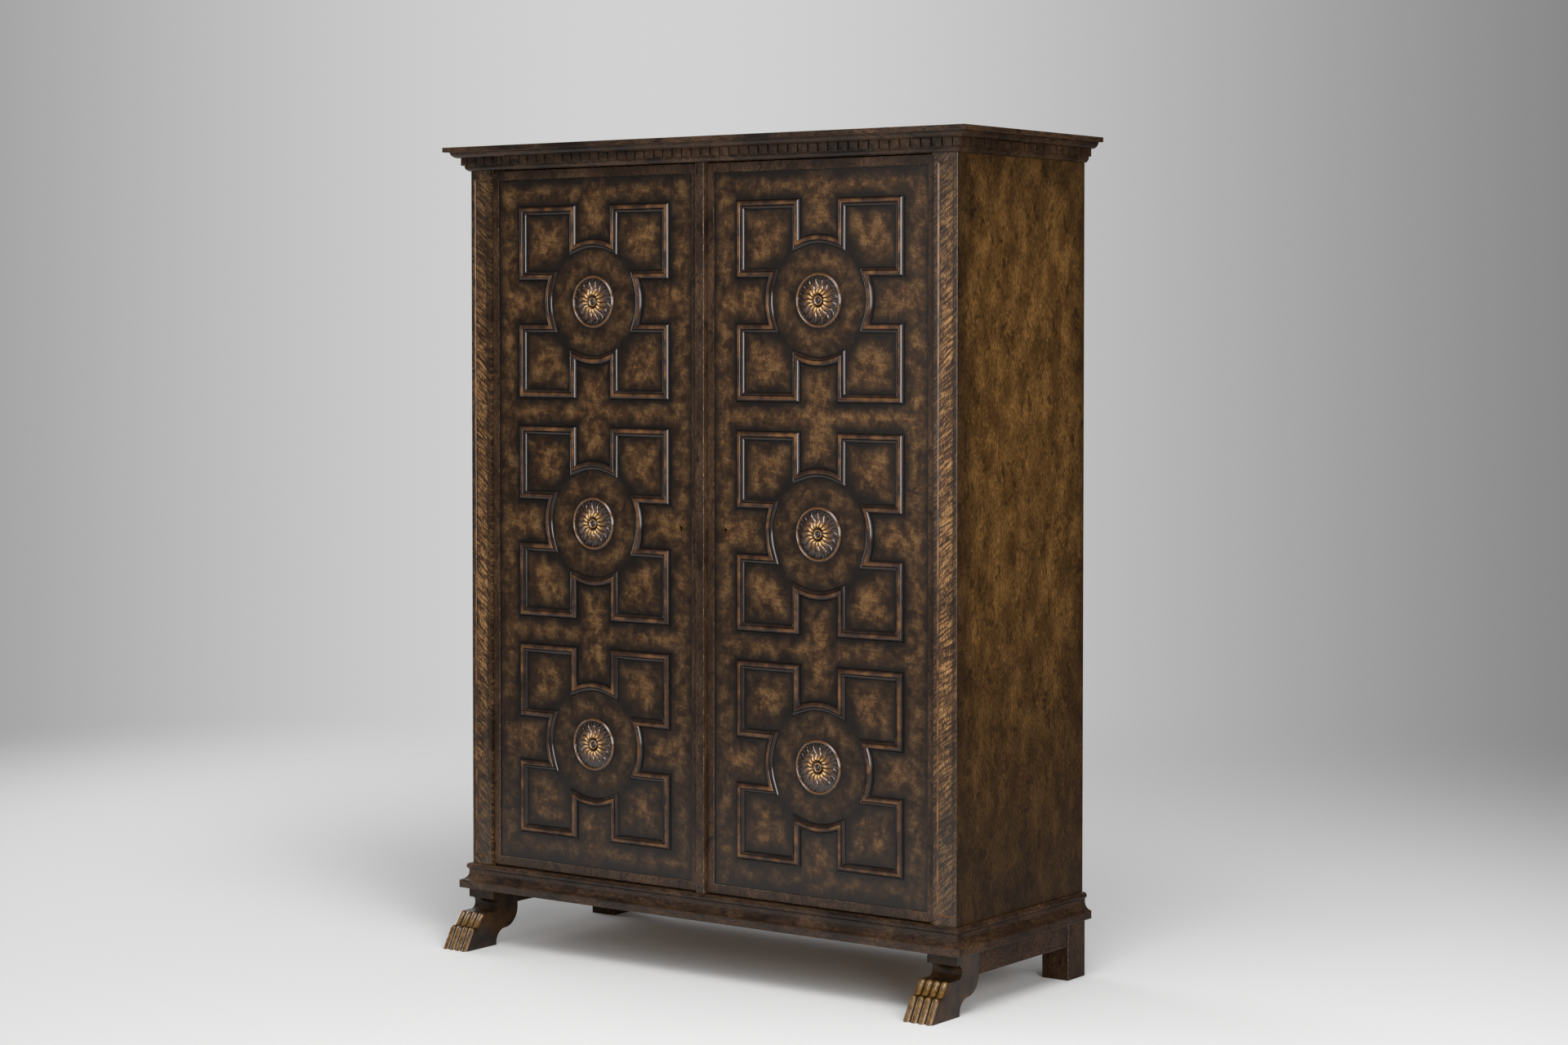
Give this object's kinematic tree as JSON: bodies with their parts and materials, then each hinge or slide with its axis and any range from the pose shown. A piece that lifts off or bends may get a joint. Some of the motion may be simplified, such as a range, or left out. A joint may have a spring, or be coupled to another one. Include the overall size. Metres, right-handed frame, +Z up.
{
  "type": "linen press",
  "caption": "Tall two-door cupboard on carved paw feet: dentil crown, applied door mouldings with rosettes, pivot-hung doors, sliding lock bolts and shelves.",
  "frame": {"origin": "on the floor under the middle of the whole cabinet, toes and crown included", "axes": "+Z up, the doors face -Y, +X to the right of someone who faces the doors"},
  "size_m": [1.396, 0.601, 1.8],
  "materials": {
    "stained_birch": "dark stain under polish",
    "carved_birch": "carved, stained, rubbed through on the high places",
    "inner_boards": "planed softwood, waxed",
    "brass_fittings": "worn brass",
    "iron_locks": "filed iron"
  },
  "bodies": {
    "case": {"left_side": "stained_birch", "right_side": "stained_birch", "top_board": "stained_birch", "floor_board": "inner_boards", "left_back": "inner_boards", "right_back": "inner_boards", "centre_partition": "inner_boards", "left_pilaster": "stained_birch", "right_pilaster": "stained_birch", "pivot_plates": "brass_fittings", "head_rail": "stained_birch", "sill_rail": "stained_birch", "crown_front": "stained_birch", "crown_left": "stained_birch", "crown_right": "stained_birch", "dentil_front": "stained_birch", "dentil_left": "stained_birch", "dentil_right": "stained_birch", "base_moulding_front": "stained_birch", "base_moulding_left": "stained_birch", "base_moulding_right": "stained_birch", "left_paw_foot": "carved_birch", "right_paw_foot": "carved_birch", "left_rear_leg": "stained_birch", "right_rear_leg": "stained_birch", "left_apron": "stained_birch", "right_apron": "stained_birch", "rear_apron": "stained_birch", "left_lower_shelf": "inner_boards", "left_upper_shelf": "inner_boards", "right_lower_shelf": "inner_boards", "right_upper_shelf": "inner_boards", "shelf_cleats": "inner_boards", "centre_post": "stained_birch", "strike_plates": "brass_fittings"},
    "left_door": {"left_door_panel": "stained_birch", "left_door_border": "stained_birch", "left_upper_moulding": "stained_birch", "left_upper_rosette": "carved_birch", "left_middle_moulding": "stained_birch", "left_middle_rosette": "carved_birch", "left_lower_moulding": "stained_birch", "left_lower_rosette": "carved_birch", "left_keyhole_liner": "brass_fittings", "left_lock_case": "iron_locks", "left_door_pivots": "brass_fittings"},
    "right_door": {"right_door_panel": "stained_birch", "right_door_border": "stained_birch", "right_upper_moulding": "stained_birch", "right_upper_rosette": "carved_birch", "right_middle_moulding": "stained_birch", "right_middle_rosette": "carved_birch", "right_lower_moulding": "stained_birch", "right_lower_rosette": "carved_birch", "right_keyhole_liner": "brass_fittings", "right_lock_case": "iron_locks", "right_door_pivots": "brass_fittings"},
    "left_bolt": {"left_lock_bolt": "iron_locks"},
    "right_bolt": {"right_lock_bolt": "iron_locks"}
  },
  "joints": [
    {"name": "left_door_hinge", "type": "hinge", "parent": "case", "child": "left_door", "pos_m": [-0.592, -0.1955, 0], "axis": [0, 0, -1], "range_deg": [0, 110]},
    {"name": "right_door_hinge", "type": "hinge", "parent": "case", "child": "right_door", "pos_m": [0.592, -0.1955, 0], "axis": [0, 0, 1], "range_deg": [0, 110]},
    {"name": "left_bolt_slide", "type": "slide", "parent": "left_door", "child": "left_bolt", "axis": [1, 0, 0], "range_m": [0, 0.01]},
    {"name": "right_bolt_slide", "type": "slide", "parent": "right_door", "child": "right_bolt", "axis": [-1, 0, 0], "range_m": [0, 0.01]}
  ]
}
